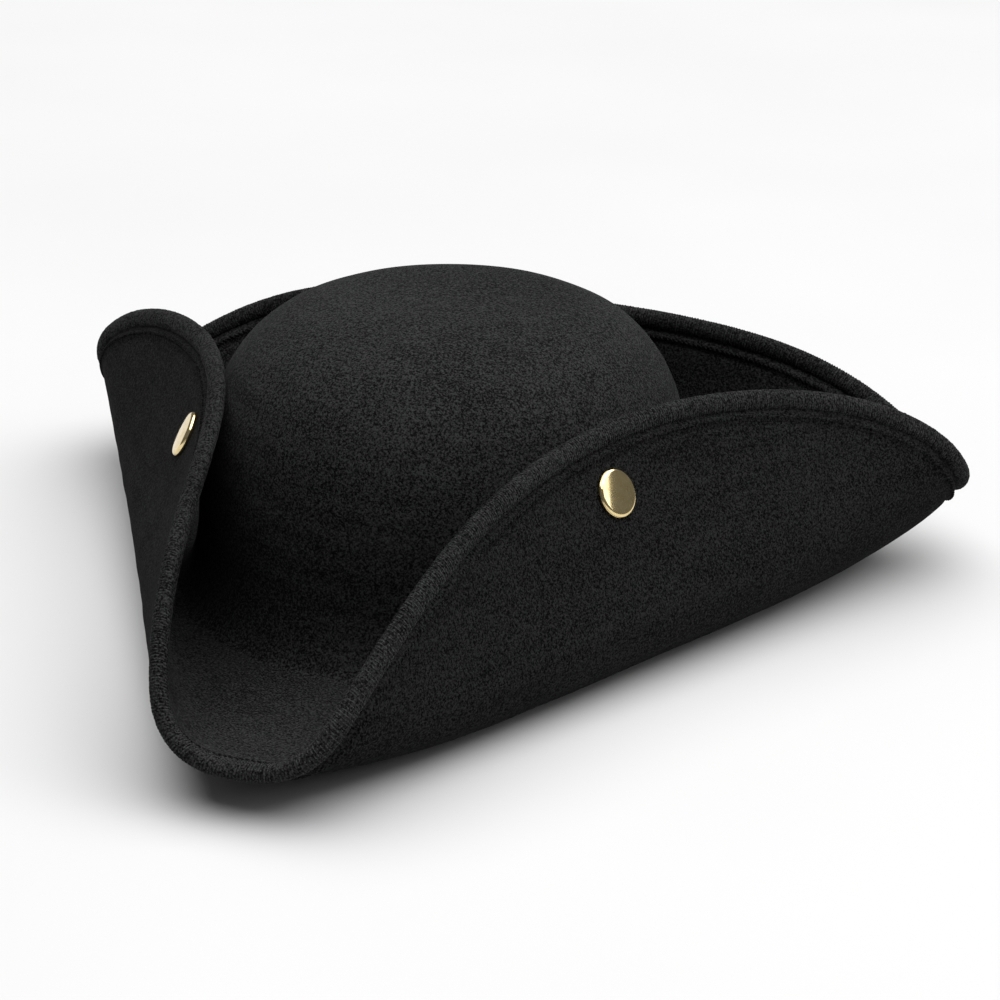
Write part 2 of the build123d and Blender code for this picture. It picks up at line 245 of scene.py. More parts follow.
TAPERED_END = 0.35  # share of a thread's radius that is left at its rounded-off end
NEARLY_PARALLEL = 0.05
SPARE_DIRECTION = (0.31, 0.52, 0.79)  # gives a thread its sides where it points at its own middle
MIDDLE_NUDGE = 1e-6  # these two keep a direction from having no length
SIDE_NUDGE = 1e-9


def tubes(paths, radius, sides, closed=False, taper=True):
    """Round threads along paths: an array of (thread, point, xyz). Open ones may taper at their ends."""
    count, steps = paths.shape[:2]
    if closed:
        tangent = unit(np.roll(paths, -1, axis=1) - np.roll(paths, 1, axis=1))
    else:
        tangent = unit(np.gradient(paths, axis=1))
    helper = unit(paths.mean(axis=1, keepdims=True) - paths + MIDDLE_NUDGE)
    side = np.cross(tangent, helper)
    weak = np.linalg.norm(side, axis=-1, keepdims=True) < NEARLY_PARALLEL
    side = unit(np.where(weak, np.cross(tangent, SPARE_DIRECTION), side))
    other = np.cross(tangent, side)
    size = np.full((1, steps, 1), radius)
    if taper and not closed:
        size[0, 0] = size[0, -1] = radius * TAPERED_END
    rings = []
    for k in range(sides):
        angle = 2 * math.pi * k / sides
        rings.append(paths + size * (side * math.cos(angle) + other * math.sin(angle)))
    points = np.stack(rings, axis=2).reshape(-1, 3)
    one_tube = []
    for i in range(steps if closed else steps - 1):
        i2 = (i + 1) % steps
        for k in range(sides):
            k2 = (k + 1) % sides
            one_tube.append([i * sides + k, i * sides + k2, i2 * sides + k2, i2 * sides + k])
    per_tube = steps * sides
    quads = np.array(one_tube)[None] + (np.arange(count) * per_tube)[:, None, None]
    faces = quads.reshape(-1, 4).tolist()
    if not closed:
        for base in range(0, count * per_tube, per_tube):
            faces.append([base + k for k in reversed(range(sides))])
            faces.append([base + per_tube - sides + k for k in range(sides)])
    return points, faces


def twisted(path, strands, lay, strand_radius, twist_radius, sides):
    """An open cord of strands twisted about a path of (point, xyz), one turn in each lay."""
    tangent = unit(np.gradient(path, axis=0))
    steps = np.linalg.norm(np.diff(path, axis=0, append=path[-1:]), axis=1)
    travelled = np.concatenate([[0], np.cumsum(steps)])[:-1]
    side = unit(np.cross(tangent, [0.0, 0.0, 1.0]) + SIDE_NUDGE)
    other = np.cross(tangent, side)
    paths = []
    for k in range(strands):
        angle = (2 * np.pi * (travelled / lay + k / strands))[:, None]
        paths.append(path + twist_radius * (side * np.cos(angle) + other * np.sin(angle)))
    return tubes(np.stack(paths), strand_radius, sides, taper=False)


# ---- materials -------------------------------------------------------------------------------------
class Finish:
    """A node material that is built up from the hat's own coordinates."""

    def __init__(self, name, **sockets):
        self.material = bpy.data.materials.new(name)
        self.material.use_nodes = True
        self.tree = self.material.node_tree
        self.shader = self.tree.nodes["Principled BSDF"]
        for socket, value in sockets.items():
            self.shader.inputs[socket.replace("_", " ")].default_value = value
        self.place = self.node("ShaderNodeTexCoord").outputs["Object"]
        self.normal = None

    def node(self, kind, inputs=None, **settings):
        made = self.tree.nodes.new(kind)
        for key, value in settings.items():
            setattr(made, key, value)
        for key, value in (inputs or {}).items():
            if isinstance(value, bpy.types.NodeSocket):
                self.tree.links.new(value, made.inputs[key])
            else:
                made.inputs[key].default_value = value
        return made

    def stretched(self, scale, turn=(0.0, 0.0, 0.0)):
        inputs = {"Vector": self.place, "Scale": scale, "Rotation": turn}
        return self.node("ShaderNodeMapping", inputs).outputs["Vector"]

    def noise(self, scale, detail=2.0, roughness=0.5, where=None):
        inputs = {"Vector": where or self.place, "Scale": scale, "Detail": detail}
        inputs["Roughness"] = roughness
        return self.node("ShaderNodeTexNoise", inputs).outputs["Fac"]

    def lines(self, scale, where):
        return self.node("ShaderNodeTexWave", {"Vector": where, "Scale": scale}).outputs["Fac"]

    def math(self, operation, a, b):
        return self.node("ShaderNodeMath", {0: a, 1: b}, operation=operation).outputs[0]

    def sum(self, *weighted):
        """Adds up (value, weight) pairs."""
        total = None
        for value, weight in weighted:
            part = self.math("MULTIPLY", value, weight)
            total = part if total is None else self.math("ADD", total, part)
        return total

    def ramp(self, value, *stops):
        made = self.node("ShaderNodeValToRGB", {"Fac": value})
        elements = made.color_ramp.elements
        while len(elements) < len(stops):
            elements.new(0.5)
        for element, (position, colour) in zip(elements, stops):
            element.position = position
            element.color = (*colour, 1.0)
        return made.outputs["Color"]

    def spread(self, value, low, high, from_low=0.0, from_high=1.0):
        inputs = {"Value": value, "From Min": from_low, "From Max": from_high}
        inputs.update({"To Min": low, "To Max": high})
        return self.node("ShaderNodeMapRange", inputs).outputs["Result"]

    def colour(self, value, *stops):
        self.tree.links.new(self.ramp(value, *stops), self.shader.inputs["Base Color"])

    def roughness(self, value, low, high, from_low=0.3, from_high=0.7):
        made = self.spread(value, low, high, from_low, from_high)
        self.tree.links.new(made, self.shader.inputs["Roughness"])

    def bump(self, height, distance, strength=1.0):
        inputs = {"Height": height, "Distance": distance * MM, "Strength": strength}
        if self.normal is not None:
            inputs["Normal"] = self.normal
        self.normal = self.node("ShaderNodeBump", inputs).outputs["Normal"]
        self.tree.links.new(self.normal, self.shader.inputs["Normal"])


def grey(level, blue=1.0):
    """A near-neutral colour. blue above 1 makes it cooler."""
    return (level / blue, level, level * blue)


def velour(name, dark, light, sheen):
    """Short-piled black cloth: speckled pile, rubbed patches and faint bands where it was stretched."""
    finish = Finish(name, Roughness=0.95, Sheen_Weight=sheen, Sheen_Roughness=0.42)
    finish.shader.inputs["Sheen Tint"].default_value = (0.90, 0.93, 1.0, 1.0)
    finish.shader.inputs["Specular IOR Level"].default_value = 0.03
    pile = finish.noise(1600.0, detail=1.0)
    tufts = finish.noise(900.0, detail=1.0)
    rubbed = finish.noise(95.0, detail=3.0)
    tone = finish.noise(16.0, detail=2.0)
    bands = finish.noise(1.0, detail=2.0, where=finish.stretched((9.0, 9.0, 190.0)))
    mixed = finish.sum((pile, 0.50), (tufts, 0.32), (rubbed, 0.05), (tone, 0.06), (bands, 0.07))
    middling = (dark + light) * 0.42
    shades = ((0.42, grey(dark, 1.01)), (0.50, grey(middling, 1.01)), (0.60, grey(light, 1.02)))
    finish.colour(mixed, *shades)
    finish.bump(finish.sum((pile, 0.6), (tufts, 0.4)), distance=0.45, strength=0.7)
    finish.bump(finish.sum((rubbed, 0.6), (bands, 0.4)), distance=0.8, strength=0.25)
    return finish.material


def thread(name, dark, light, sheen=0.35):
    """Twisted sewing thread: fine slanting filaments with a little shine on their crests."""
    finish = Finish(name, Roughness=0.62, Sheen_Weight=sheen, Sheen_Roughness=0.35)
    finish.shader.inputs["Sheen Tint"].default_value = (0.85, 0.9, 1.0, 1.0)
    slanting = finish.stretched((1900.0, 1900.0, 700.0), (0.6, 0.5, 0.3))
    strands = finish.noise(1.0, detail=2.0, where=slanting)
    patches = finish.noise(130.0, detail=2.0)
    mixed = finish.sum((strands, 0.6), (patches, 0.4))
    finish.colour(mixed, (0.35, grey(dark, 1.04)), (0.68, grey(light, 1.08)))
    finish.roughness(strands, 0.5, 0.8)
    finish.bump(strands, distance=0.12, strength=0.6)
    return finish.material


def woven(name, dark, light, pitch, sheen=0.1, roughness=0.6):
    """Cloth woven in fine upright ribs, with the cross threads between them. Its pitch is in mm."""
    finish = Finish(name, Roughness=roughness, Sheen_Weight=sheen)
    ribs = finish.noise(1.0, detail=1.0, where=finish.stretched((1000 / pitch, 1000 / pitch, 40.0)))
    level = finish.lines(1.0, finish.stretched((0.0, 0.0, 160 / pitch)))
    soft = finish.noise(60.0, detail=3.0)
    mixed = finish.sum((ribs, 0.5), (level, 0.15), (soft, 0.35))
    finish.colour(mixed, (0.3, dark), (0.7, light))
    finish.roughness(soft, roughness - 0.08, roughness + 0.15)
    finish.bump(finish.sum((ribs, 0.7), (level, 0.3)), distance=0.15, strength=0.6)
    return finish.material


def brass():
    """Polished yellow metal, with fine wiping scratches and a little brown in random patches."""
    finish = Finish("button_brass", Metallic=1.0)
    cloud = finish.noise(260.0, detail=4.0, roughness=0.65)
    pits = finish.noise(900.0, detail=3.0)
    wiped = finish.noise(1.0, detail=3.0, where=finish.stretched((180.0, 2600.0, 420.0), (0.5, 0.9, 0.2)))
    tarnish = finish.sum((cloud, 0.55), (pits, 0.25), (wiped, 0.2))
    stops = ((0.34, (0.46, 0.33, 0.14)), (0.44, (0.76, 0.60, 0.30)), (0.62, (0.90, 0.74, 0.42)))
    finish.colour(tarnish, *stops)
    finish.roughness(tarnish, 0.16, 0.07)
    finish.bump(wiped, distance=0.006, strength=0.5)
    finish.bump(cloud, distance=0.02, strength=0.3)
    return finish.material


def metal(name, low, high, roughness):
    """Plain wire or sheet metal, drawn or rolled, with fine scratches and spots."""
    finish = Finish(name, Metallic=1.0)
    drawn = finish.noise(1.0, detail=3.0, where=finish.stretched((220.0, 220.0, 1500.0)))
    spots = finish.noise(420.0, detail=3.0)
    mixed = finish.sum((drawn, 0.5), (spots, 0.5))
    finish.colour(mixed, (0.35, low), (0.65, high))
    finish.roughness(spots, roughness - 0.08, roughness + 0.12)
    finish.bump(drawn, distance=0.02, strength=0.5)
    return finish.material


def board(name, low, high):
    """Stiffened felt or fibre board: matted fibres under a coat of size."""
    finish = Finish(name, Roughness=0.8)
    fibres = finish.noise(1.0, detail=3.0, where=finish.stretched((700.0, 240.0, 500.0), (0.2, 0.7, 0.4)))
    blots = finish.noise(70.0, detail=3.0)
    finish.colour(finish.sum((fibres, 0.6), (blots, 0.4)), (0.35, low), (0.68, high))
    finish.roughness(blots, 0.62, 0.92)
    finish.bump(fibres, distance=0.2, strength=0.6)
    return finish.material


def satin():
    """Lining satin: smooth floats one way, with soft shine."""
    finish = Finish("lining_satin", Sheen_Weight=0.25, Sheen_Roughness=0.3, Anisotropic=0.5)
    floats = finish.noise(1.0, detail=2.0, where=finish.stretched((1400.0, 1400.0, 90.0)))
    slubs = finish.noise(1.0, detail=2.0, where=finish.stretched((40.0, 40.0, 900.0)))
    soft = finish.noise(30.0, detail=2.0)
    mixed = finish.sum((floats, 0.4), (slubs, 0.25), (soft, 0.35))
    finish.colour(mixed, (0.35, (0.010, 0.010, 0.012)), (0.66, (0.032, 0.033, 0.038)))
    finish.roughness(soft, 0.30, 0.48)
    finish.bump(finish.sum((floats, 0.6), (slubs, 0.4)), distance=0.08, strength=0.5)
    return finish.material


cover_velour = velour("black_velour", 0.003, 0.033, 0.02)
# The velour under the brim is the same cloth as the cover, in darker tones: painted shade on the
# turned-up flaps.
painted_shade_brim_velour = velour("painted_shade_brim_velour", 0.0015, 0.020, 0.0)
hem_velour = velour("hem_velour", 0.003, 0.026, 0.02)
black_thread = thread("black_thread", 0.005, 0.030, sheen=0.06)
# The overlock threads are the same black pile as the cover velour, in lighter tones: painted light on the
# hem's edge.
painted_light_wrap_pile = velour("painted_light_wrap_pile", 0.004, 0.044, 0.02)
stitch_pile = velour("stitch_pile", 0.002, 0.022, 0.0)
stitch_thread = thread("sweatband_thread", 0.10, 0.24)
label_thread = thread("label_thread", 0.35, 0.62)
satin_lining = satin()
ribbed_band = woven("sweatband_grosgrain", (0.014, 0.014, 0.016), (0.048, 0.049, 0.054), 0.9, sheen=0.2)
label_weave = woven("label_weave", (0.50, 0.49, 0.45), (0.80, 0.79, 0.75), 0.35, roughness=0.5)
button_brass = brass()

# ---- the blocked velour ----------------------------------------------------------------------------
AROUND = 480
# Raised lines and dips that follow the brim's edge: place, height and spread, in from the edge.
RIDGE = {"inset": LOCK_STITCH_INSET - 0.3, "height": 0.50, "spread": 1.3}
GROOVE = {"inset": 13.1, "height": -0.40, "spread": 0.8}
GUTTER = {"inset": 8.6, "height": -0.70, "spread": 0.45}
TONGUE = 1.4  # how far the velour runs on under the hem's wrap, past where the board stops
TONGUE_OFFSETS = (0.4, 0.9)  # the velour's two faces there
UNDER_START = 1.5  # station on the flare where the velour under the brim begins
SEWN_SHARE = 0.90  # share of the way across the brim where its close rows begin
FACE_MARKS = (*np.linspace(0, SEWN_SHARE, 36, endpoint=False), *np.linspace(SEWN_SHARE, 1, 18))
BACKING_MARKS = (*np.linspace(0, 0.98, 9), 1.0)
WANDER_WAVES = 7
BAND_SPACING = 10.5
BAND_DEPTH = 0.10
BAND_WAVES = ((1.7, 2, 0.6), (0.9, 5, 1.9))  # size, count round the crown and phase


def wander(points, wavelength, seed):
    """A smooth unevenness between about -1 and 1 over points, without a repeat that shows."""
    draw = np.random.default_rng(seed)
    total = 0.0
    for _ in range(WANDER_WAVES):
        direction = unit(draw.normal(size=3))
        stretch = draw.uniform(0.7, 1.5) * 2 * np.pi / wavelength
        total = total + np.sin(points @ direction * stretch + draw.uniform(0, 2 * np.pi))
    return total / 3


def station_rows(phi, dome, flare, marks, first):
    """Stations of a sheet's rows from the first one out, as an array of (row, column)."""
    levels = [*np.linspace(APEX, 1, dome, endpoint=False), *np.linspace(1, 2, flare, endpoint=False)]
    rows = [np.full(len(phi), s) for s in (first, *(s for s in levels if s > first))]
    end = brim_station(phi, HEM_INSET - TONGUE)
    rows += [2 + (end - 2) * mark for mark in marks]
    return np.stack(rows)


def under_wrap(phi, station, offsets, tongue):
    """Offsets of one face of the velour, thinned to a tongue where it runs on under the wrap."""
    inset = (3 - station) * brim_width(phi)
    share = np.clip((HEM_INSET - inset) / TONGUE, 0, 1)
    return offsets * (1 - share) + tongue * share


def raised_line(inset, form):
    return form["height"] * np.exp(-(((inset - form["inset"]) / form["spread"]) ** 2))


def sewn_edge(phi, station):
    """The raised line of the lock stitch, the groove behind it and the dip under the hem's wrap."""
    inset = (3 - station) * brim_width(phi)
    raised = sum(raised_line(inset, form) for form in (RIDGE, GROOVE, GUTTER))
    return np.where(station > 2, raised, 0.0)


def stretch_bands(points, phi, station):
    """Faint level bands on the crown's wall, where the cloth was pulled over the block."""
    height = points[..., 2]
    phase = 2 * np.pi * height / BAND_SPACING
    for size, count, start in BAND_WAVES:
        phase = phase + size * np.sin(count * phi + start)
    strength = 0.5 + 0.5 * np.sin(3 * phi + 0.04 * height)
    below_top = np.clip((station - 0.3) * 4, 0, 1)
    above_brim = np.clip((2.2 - station) * 2, 0, 1)
    return BAND_DEPTH * np.sin(phase) * strength * below_top * above_brim


def velour_sheet(phi, side, rows, first, unevenness):
    """The velour on the hat's upper face (side 1) or under face (side -1), with its flat backing.

    rows are those over the dome and the flare, for the face and then for the backing.
    unevenness is a height, a wavelength and a seed.
    """
    stations = station_rows(phi, *rows[0], FACE_MARKS, first)
    spots = middle(phi, stations)
    relief = sewn_edge(phi, stations)
    if side > 0:
        relief = relief + stretch_bands(spots, phi, stations)
    height, wavelength, seed = unevenness
    offsets = side * (COVER[1] + (relief + height * wander(spots, wavelength, seed)))
    face = hat_point(phi, stations, under_wrap(phi, stations, offsets, side * TONGUE_OFFSETS[1]))
    stations = station_rows(phi, *rows[1], BACKING_MARKS, first)
    offsets = np.full(stations.shape, side * COVER[0])
    backing = hat_point(phi, stations, under_wrap(phi, stations, offsets, side * TONGUE_OFFSETS[0]))
    return sheet_mesh(face, backing, upper=side > 0, closed_top=side > 0)


ring_phi = ring_azimuths(AROUND)
cover_sheet = velour_sheet(ring_phi, 1, ((70, 20), (24, 8)), APEX, (0.10, 34.0, 3))
cover = add_piece("cover_velour", *cover_sheet, cover_velour)
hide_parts("velour_cover")

under_sheet = velour_sheet(ring_phi, -1, ((2, 20), (2, 8)), UNDER_START, (0.12, 30.0, 5))
under = add_piece("under_velour", *under_sheet, painted_shade_brim_velour)
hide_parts("brim_under_velour")

# ---- the hem ---------------------------------------------------------------------------------------
HEM_SAMPLES = 7201
dense = np.linspace(-np.pi, np.pi, HEM_SAMPLES)
dense_points = middle(dense, brim_station(dense, HEM_CENTRE_INSET))
hem_travel = np.concatenate([[0], np.cumsum(np.linalg.norm(np.diff(dense_points, axis=0), axis=1))])
hem_length = hem_travel[-1]


def azimuth_at(travel):
    """The azimuth a distance along the hem's centre line."""
    return np.interp(np.asarray(travel) % hem_length, hem_travel, dense)


def stitch_centres(pitch):
    """Distances along the hem of evenly spaced stitches, as a column."""
    count = round(hem_length / pitch)
    return ((np.arange(count) + 0.5) * hem_length / count)[:, None]


def edge_frame(phi, inset):
    """Origin, direction out of the hat and direction off the upper face, on the brim near its edge."""
    station = brim_station(phi, inset)
    normal = face_normal(phi, station)
    before = middle(phi - TURN_STEP, brim_station(phi - TURN_STEP, inset))
    after = middle(phi + TURN_STEP, brim_station(phi + TURN_STEP, inset))
    along = unit(after - before)
    out = unit(np.cross(along, normal))
    return middle(phi, station), out, unit(np.cross(out, along))


HEM_RINGS = 900
HEM_WRAP = math.radians(178.0)
HEM_FACE_POINTS = 26
HEM_HOLLOW_POINTS = 10
HEM_UNEVENNESS = 0.10
travel = np.linspace(0, hem_length, HEM_RINGS, endpoint=False)
origin, out, up = edge_frame(azimuth_at(travel), HEM_CENTRE_INSET)
soft = HEM_UNEVENNESS * wander(origin, 22.0, 8)
outside = np.linspace(-HEM_WRAP, HEM_WRAP, HEM_FACE_POINTS)
inside = np.linspace(HEM_WRAP, -HEM_WRAP, HEM_HOLLOW_POINTS)
ring = [(a, *HEM_ROLL, 1.0) for a in outside] + [(a, *HEM_ROLL_HOLLOW, 0.0) for a in inside]
rows = []
for angle, half_width, half_height, is_face in ring:
    reach_out = (half_width + soft * is_face) * math.cos(angle)
    reach_up = (half_height + soft * is_face) * math.sin(angle)
    rows.append(origin + out * reach_out[:, None] + up * reach_up[:, None])
roll_points = np.stack(rows).reshape(-1, 3)
roll_faces = grid_faces(len(ring), HEM_RINGS, wrap_rows=True)
roll = add_piece("hem_binding", roll_points, roll_faces, hem_velour, sharp=60)
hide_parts("hem_roll")

# The overlock's threads: each wraps the roll from the under face, round the edge, to the upper face.
# A spread is the standard deviation of a random difference, in millimetres.
WRAP_PITCH = 1.1
WRAP_REACH = math.radians(168)  # how far a thread goes round the roll, either way from the very edge
WRAP_POINTS = 15
WRAP_RADIUS = 0.33
WRAP_SLANT = 0.55
WRAP_LIFT = -0.10
WRAP_SHIFT_SPREAD = 0.11
WRAP_BEND_SPREAD = 0.06
WRAP_LIFT_SPREAD = 0.04
centres = stitch_centres(WRAP_PITCH)
angles = np.linspace(-WRAP_REACH, WRAP_REACH, WRAP_POINTS)
draw = np.random.default_rng(11)
shift = draw.normal(0, WRAP_SHIFT_SPREAD, centres.shape)
shift = shift + draw.normal(0, WRAP_BEND_SPREAD, (len(centres), WRAP_POINTS))
wrap_azimuths = azimuth_at(centres + WRAP_SLANT * np.sin(angles) + shift)
origin, out, up = edge_frame(wrap_azimuths, HEM_CENTRE_INSET)
lift = WRAP_LIFT + draw.normal(0, WRAP_LIFT_SPREAD, centres.shape)
reach_out = (HEM_ROLL[0] + lift) * np.cos(angles)
reach_up = (HEM_ROLL[1] + lift) * np.sin(angles)
wraps = origin + out * reach_out[..., None] + up * reach_up[..., None]
overlock = add_piece("hem_overlock_threads", *tubes(wraps, WRAP_RADIUS, sides=5), painted_light_wrap_pile)
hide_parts("hem_overlock")

# The lock stitch: short slanting stitches that sit in the raised line on either face.
LOCK_PITCH = 2.1
LOCK_POINTS = 8
LOCK_HALF_LENGTH = 1.0
LOCK_SLANT = 0.75  # how far across the hem each end is from the row's middle
LOCK_RADIUS = 0.46
LOCK_RISE = 0.12
LOCK_DIP = 0.62  # how far each end goes down into the velour
LOCK_SPREAD = 0.12
LOCK_ROWS = (
    ("lock_stitch_top", "hem_lock_stitch_top", 1),
    ("lock_stitch_under", "hem_lock_stitch_under", -1),
)
centres = stitch_centres(LOCK_PITCH)
share = np.linspace(-1, 1, LOCK_POINTS)
level = COVER[1] + RIDGE["height"] + LOCK_RISE - LOCK_DIP * share**4
for name, node, side in LOCK_ROWS:
    shift = np.random.default_rng(21 + side).normal(0, LOCK_SPREAD, centres.shape)
    lock_azimuths = azimuth_at(centres + share * LOCK_HALF_LENGTH + shift)
    origin, out, up = edge_frame(lock_azimuths, LOCK_STITCH_INSET)
    stitches = origin + out * (share * LOCK_SLANT)[:, None] + up * (side * level)[:, None]
    lock = add_piece(name, *tubes(stitches, LOCK_RADIUS, sides=6), stitch_pile)
    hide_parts(node)

# ---- inside the crown ------------------------------------------------------------------------------
LINING_ROWS = (60, 22)  # of the face and of the plain back
LINING_SLACK = 0.3
GATHERS = ((36, 0.0), (23, 1.1))  # count round the crown and phase
PUCKER_DEPTH = 0.35
LINING_UNEVENNESS = 0.15


def dome_rows(count):
    """Stations of rows from the crown's top to the dome's foot, as an array of (row, column)."""
    return np.stack([np.full(AROUND, station) for station in np.linspace(APEX, 1.0, count)])


stations = dome_rows(LINING_ROWS[0])
gathers = sum(0.5 * np.sin(count * ring_phi + start) for count, start in GATHERS)
towards_foot = np.clip(stations * 1.6 - 0.5, 0, 1) ** 2
puckers = PUCKER_DEPTH * gathers * towards_foot
puckers = puckers - LINING_UNEVENNESS * wander(middle(ring_phi, stations), 26.0, 13)
lining_face = hat_point(ring_phi, stations, LINING[1] - LINING_SLACK - puckers)
stations = dome_rows(LINING_ROWS[1])
lining_back = hat_point(ring_phi, stations, np.full(stations.shape, LINING[0]))
lining_sheet = sheet_mesh(lining_face, lining_back, upper=False, closed_top=True)
lining = add_piece("lining", *lining_sheet, satin_lining)
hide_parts("crown_lining")


def oval_point(phi, offset, height):
    """Points at a height, and at an offset from the middle of the crown's upright wall."""
    radius = oval_radius(phi, CROWN_HALF_WIDTH + offset, CROWN_HALF_LENGTH + offset)
    x, y = radius * np.sin(phi), -radius * np.cos(phi)
    return np.stack(np.broadcast_arrays(x, y, height + 0 * radius), axis=-1)


# The band's section: up its outer face, over the rolled top edge, down the inner face and back under.
BAND_AROUND = STITCH_COUNT * 8
BAND_EDGE = 0.6  # height of each rolled edge
BAND_EDGE_ANGLES = (0.5, 1.1, 2.0, 2.6)
BAND_MIDDLE = (SWEATBAND[0] + SWEATBAND[1]) / 2
BAND_HALF = (SWEATBAND[1] - SWEATBAND[0]) / 2
BAND_SAG = 0.03
STITCH_PUCKER = {"height": 0.16, "spread": 1.6}
band_phi = np.linspace(-np.pi, np.pi, BAND_AROUND, endpoint=False)
band_top = SWEATBAND_HEIGHT - BAND_EDGE
edge_arc = [(BAND_HALF * math.cos(a), BAND_EDGE * math.sin(a)) for a in BAND_EDGE_ANGLES]
section = [(SWEATBAND[1], height) for height in np.linspace(BAND_EDGE, band_top, 8)]
section += [(BAND_MIDDLE + across, band_top + rise) for across, rise in edge_arc]
section += [(SWEATBAND[0], height) for height in np.linspace(band_top, BAND_EDGE, 34)]
section += [(BAND_MIDDLE - across, BAND_EDGE - rise) for across, rise in edge_arc]
rows = []
for offset, height in section:
    pull = sum(raised_line(height, {"inset": at, **STITCH_PUCKER}) for at in STITCH_HEIGHTS)
    pucker = pull * np.cos(STITCH_COUNT * band_phi) * (offset < BAND_MIDDLE)
    sag = BAND_SAG * abs(np.sin(4 * band_phi + height / 9))
    rows.append(oval_point(band_phi, offset + pucker - sag, height))
band_points = np.stack(rows).reshape(-1, 3)
band_faces = grid_faces(len(section), BAND_AROUND, wrap_rows=True, flip=True)
band = add_piece("inner_sweatband", band_points, band_faces, ribbed_band)
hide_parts("sweatband")

SEWING_RADIUS = 0.26
SEWING_HALF_LENGTH = 2.5
SEWING_SLANT = 0.15
SEWING_DIP = 0.30  # how far each stitch's ends go down into the band
BAND_MEAN_RADIUS = 96.0
share = np.linspace(-1, 1, 9)
offset = SWEATBAND[0] - SEWING_RADIUS + SEWING_DIP * share**6
paths = []
for height in STITCH_HEIGHTS:
    for i in range(STITCH_COUNT):
        centre = 2 * math.pi * (i + 0.5) / STITCH_COUNT
        around = centre + share * SEWING_HALF_LENGTH / BAND_MEAN_RADIUS
        paths.append(oval_point(around, offset, height + SEWING_SLANT * share))
sewing_tubes = tubes(np.stack(paths), SEWING_RADIUS, sides=8)
band_stitches = add_piece("sweatband_sewing", *sewing_tubes, stitch_thread)
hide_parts("sweatband_stitches")

# The label: a blank woven piece with turned edges, sewn over the join at the back of the band.
LABEL_GRID = (60, 36)
LABEL_OFFSETS = (-3.55, -3.2)
LABEL_TURNING = {"inset": 1.2, "height": 0.14, "spread": 0.8}
LABEL_FOLD = {"inset": 0.0, "height": -0.12, "spread": 0.5}
LABEL_CORNER_TRIM = 0.3
NEAR = 0.1  # lengths this close count as equal
half_x = LABEL_WIDTH / 2
half_z = (LABEL_SPAN[1] - LABEL_SPAN[0]) / 2
middle_z = sum(LABEL_SPAN) / 2
columns, label_rows = LABEL_GRID
grid_x, grid_z = np.meshgrid(np.linspace(-half_x, half_x, columns), np.linspace(*LABEL_SPAN, label_rows))
edge = np.minimum(half_x - abs(grid_x), half_z - abs(grid_z - middle_z))
turned_edge = raised_line(edge, LABEL_TURNING) + raised_line(edge, LABEL_FOLD)
corner = (abs(grid_x) > half_x - NEAR) & (abs(grid_z - middle_z) > half_z - NEAR)
grid_x = np.where(corner, grid_x * (1 - LABEL_CORNER_TRIM / half_x), grid_x)
label_phi = np.pi - grid_x / CROWN_HALF_LENGTH
front = oval_point(label_phi, LABEL_OFFSETS[0] - turned_edge, grid_z)
rear = oval_point(label_phi, LABEL_OFFSETS[1] + 0 * grid_x, grid_z)
label_points = np.concatenate([front.reshape(-1, 3), rear.reshape(-1, 3)])
label_faces = []
half = columns * label_rows
for i in range(label_rows - 1):
    for j in range(columns - 1):
        a = i * columns + j
        quad = [a, a + 1, a + columns + 1, a + columns]
        label_faces += [quad[::-1], [half + v for v in quad]]
rim = list(range(columns)) + [(i + 1) * columns - 1 for i in range(1, label_rows)]
rim += [half - 1 - j for j in range(1, columns)] + [i * columns for i in range(label_rows - 2, 0, -1)]
for a, b in zip(rim, rim[1:] + rim[:1]):
    label_faces.append([a, b, half + b, half + a])
label = add_piece("blank_label", label_points, label_faces, label_weave, sharp=50)
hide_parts("size_label")

# Its sewing: whip stitches over each edge, first the lower and upper ones, then the two ends.
WHIP_PITCH = 1.55
WHIP_MARGIN = 1.5  # how far from the corners the first and last are
WHIP_RADIUS = 0.17
WHIP_HALF_LENGTH = 0.95
WHIP_INSET = 0.35  # how far in from the edge a stitch's middle is
WHIP_SLANT = 0.25
WHIP_OFFSET = -3.72
WHIP_DIP = 0.42


def whip_places(low, high):
    """Even places of stitches along an edge between these corners."""
    return np.arange(low + WHIP_MARGIN, high - WHIP_MARGIN + NEAR, WHIP_PITCH)


share = np.linspace(-1, 1, 7)
offset = WHIP_OFFSET + WHIP_DIP * share**4
across = share * WHIP_HALF_LENGTH - WHIP_INSET
paths = []
for edge_z, outward in ((LABEL_SPAN[0], -1), (LABEL_SPAN[1], 1)):
    for x in whip_places(-half_x, half_x):
        at = np.pi - (x + WHIP_SLANT * share) / CROWN_HALF_LENGTH
        paths.append(oval_point(at, offset, edge_z + outward * across))
for outward in (-1, 1):
    for z in whip_places(*LABEL_SPAN):
        at = np.pi - outward * (half_x + across) / CROWN_HALF_LENGTH
        paths.append(oval_point(at, offset, z + WHIP_SLANT * share))
whips = add_piece("label_sewing", *tubes(np.stack(paths), WHIP_RADIUS, sides=6), label_thread)

# ---- the buttons -----------------------------------------------------------------------------------
CAP_SEGMENTS = 128
CAP_HEIGHT = 2.60
CAP_CENTRE = 0.25  # radius of the smallest ring, which a fan of faces closes
CAP_FACE_RADIUS = 7.7
CAP_CROWNING = 0.40
CAP_CROWNING_POWER = 2.3
CAP_EDGE_RADIUS = 8.0  # outside this the cap is a little out of round
CAP_OUT_OF_ROUND = 0.0012
